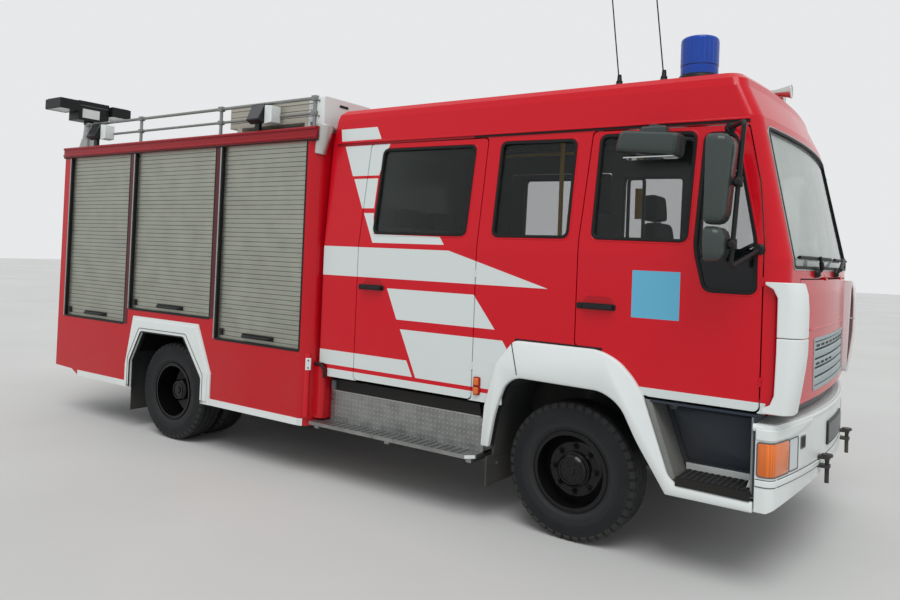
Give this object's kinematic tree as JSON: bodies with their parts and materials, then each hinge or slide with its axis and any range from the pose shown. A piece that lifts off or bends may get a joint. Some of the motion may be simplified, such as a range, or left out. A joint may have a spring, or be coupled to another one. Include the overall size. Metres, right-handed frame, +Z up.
{
  "type": "fire engine",
  "caption": "Double-cab light fire engine with a shuttered locker body, roof gallery, blue beacons and a telescopic light mast.",
  "frame": {"origin": "at floor height, in the middle of the overall length and width", "axes": "+X towards the front of the vehicle, +Y to its left, +Z up"},
  "size_m": [7.096, 2.88, 3.4354],
  "materials": {
    "red_paint": "gloss",
    "white_paint": "gloss",
    "black_paint": "gloss",
    "frame_paint": "satin",
    "shutter_aluminium": "anodised",
    "tread_plate": "worn",
    "black_plastic": "satin",
    "grey_plastic": "matt",
    "tyre": "matt",
    "window_glass": "clear, lightly tinted",
    "blue_lens": "clear",
    "amber_lens": "clear",
    "red_lens": "clear",
    "horn_chrome": "polished",
    "seat_cloth": "woven"
  },
  "bodies": {
    "vehicle": {"aerials": "black_plastic", "air_horns": "horn_chrome", "area_lights": "black_plastic", "axles": "frame_paint", "beacons": "blue_lens", "body_roof": "red_paint", "body_shell": "red_paint", "cab_seats": "seat_cloth", "cab_shell": "red_paint", "cab_steps": "tread_plate", "cab_windows": "window_glass", "chassis_frame": "frame_paint", "corner_deflectors": "white_paint", "dashboard": "grey_plastic", "front_arches": "white_paint", "front_bumper": "white_paint", "front_lamps": "amber_lens", "leaf_springs": "frame_paint", "mast_tube": "shutter_aluminium", "mudguards": "black_plastic", "power_train": "frame_paint", "rear_arches": "white_paint", "rear_guard": "frame_paint", "rear_ladder": "shutter_aluminium", "roller_shutters": "shutter_aluminium", "roof_box": "white_paint", "roof_gallery": "shutter_aluminium", "side_tanks": "frame_paint", "step_boxes": "black_plastic", "tail_lamps": "red_lens", "towing_pins": "black_paint"},
    "front_flap": {"front_flap": "red_paint", "front_grille": "black_plastic"},
    "front_door_right": {"front_door_right": "red_paint", "front_glass_right": "window_glass", "mirrors_right": "black_plastic"},
    "front_door_left": {"front_door_left": "red_paint", "front_glass_left": "window_glass", "mirrors_left": "black_plastic"},
    "crew_door_right": {"crew_door_right": "red_paint", "crew_glass_right": "window_glass"},
    "crew_door_left": {"crew_door_left": "red_paint", "crew_glass_left": "window_glass"},
    "knuckle_right": {"knuckle_right": "frame_paint"},
    "knuckle_left": {"knuckle_left": "frame_paint"},
    "tie_rod": {"tie_rod": "frame_paint"},
    "steering_wheel": {"steering_wheel": "black_plastic"},
    "front_wheel_right": {"front_tyre_right": "tyre", "front_wheel_right": "black_paint"},
    "front_wheel_left": {"front_tyre_left": "tyre", "front_wheel_left": "black_paint"},
    "rear_wheels_right": {"rear_tyres_right": "tyre", "rear_wheels_right": "black_paint"},
    "rear_wheels_left": {"rear_tyres_left": "tyre", "rear_wheels_left": "black_paint"},
    "mast_stage_low": {"mast_stage_low": "shutter_aluminium"},
    "mast_stage_high": {"mast_stage_high": "shutter_aluminium"},
    "mast_head": {"mast_head": "black_plastic"},
    "floodlights": {"floodlights": "black_plastic"}
  },
  "joints": [
    {"name": "front_door_right_hinge", "type": "hinge", "parent": "vehicle", "child": "front_door_right", "pos_m": [3.2825, -1.13, 1.38], "axis": [0, 0, 1], "range_deg": [0, 70]},
    {"name": "crew_door_right_hinge", "type": "hinge", "parent": "vehicle", "child": "crew_door_right", "pos_m": [1.5145, -1.13, 1.3], "axis": [0, 0, 1], "range_deg": [0, 70]},
    {"name": "front_door_left_hinge", "type": "hinge", "parent": "vehicle", "child": "front_door_left", "pos_m": [3.2825, 1.13, 1.38], "axis": [0, 0, -1], "range_deg": [0, 70]},
    {"name": "crew_door_left_hinge", "type": "hinge", "parent": "vehicle", "child": "crew_door_left", "pos_m": [1.5145, 1.13, 1.3], "axis": [0, 0, -1], "range_deg": [0, 70]},
    {"name": "front_flap_hinge", "type": "hinge", "parent": "vehicle", "child": "front_flap", "pos_m": [3.466, 0, 1.6585], "axis": [0, -1, 0], "range_deg": [0, 65]},
    {"name": "steer_left", "type": "hinge", "parent": "vehicle", "child": "knuckle_left", "pos_m": [2.182, 0.78, 0.421], "axis": [0, 0, 1], "range_deg": [-35, 35]},
    {"name": "steer_right", "type": "hinge", "parent": "vehicle", "child": "knuckle_right", "pos_m": [2.182, -0.78, 0.421], "axis": [0, 0, 1], "range_deg": [-35, 35]},
    {"name": "tie_rod_pivot", "type": "hinge", "parent": "knuckle_left", "child": "tie_rod", "pos_m": [1.952, 0.78, 0.299], "axis": [0, 0, 1], "range_deg": [-35, 35]},
    {"name": "steering_wheel_turn", "type": "hinge", "parent": "vehicle", "child": "steering_wheel", "pos_m": [2.782, 0.56, 1.8], "axis": [-0.5299, 0, 0.848], "range_deg": [-560, 560]},
    {"name": "front_wheel_right_spin", "type": "hinge", "parent": "knuckle_right", "child": "front_wheel_right", "pos_m": [2.182, -0.923, 0.421], "axis": [0, 1, 0], "continuous": true},
    {"name": "rear_wheels_right_spin", "type": "hinge", "parent": "vehicle", "child": "rear_wheels_right", "pos_m": [-1.585, -0.906, 0.421], "axis": [0, 1, 0], "continuous": true},
    {"name": "front_wheel_left_spin", "type": "hinge", "parent": "knuckle_left", "child": "front_wheel_left", "pos_m": [2.182, 0.923, 0.421], "axis": [0, 1, 0], "continuous": true},
    {"name": "rear_wheels_left_spin", "type": "hinge", "parent": "vehicle", "child": "rear_wheels_left", "pos_m": [-1.585, 0.906, 0.421], "axis": [0, 1, 0], "continuous": true},
    {"name": "mast_lift_low", "type": "slide", "parent": "vehicle", "child": "mast_stage_low", "axis": [0, 0, 1], "range_m": [0, 1.2]},
    {"name": "mast_lift_high", "type": "slide", "parent": "mast_stage_low", "child": "mast_stage_high", "axis": [0, 0, 1], "range_m": [0, 1.2]},
    {"name": "mast_pan", "type": "hinge", "parent": "mast_stage_high", "child": "mast_head", "pos_m": [-3.308, -1.06, 2.93], "axis": [0, 0, 1], "range_deg": [-170, 170]},
    {"name": "floodlight_tilt", "type": "hinge", "parent": "mast_head", "child": "floodlights", "pos_m": [-3.308, -1.06, 3.06], "axis": [0, -1, 0], "range_deg": [0, 90]}
  ],
  "couplings": [
    {"joint": "steer_right", "follows": "steer_left", "ratio": 1},
    {"joint": "tie_rod_pivot", "follows": "steer_left", "ratio": -1},
    {"joint": "steering_wheel_turn", "follows": "steer_left", "ratio": 16},
    {"joint": "mast_lift_high", "follows": "mast_lift_low", "ratio": 1}
  ]
}
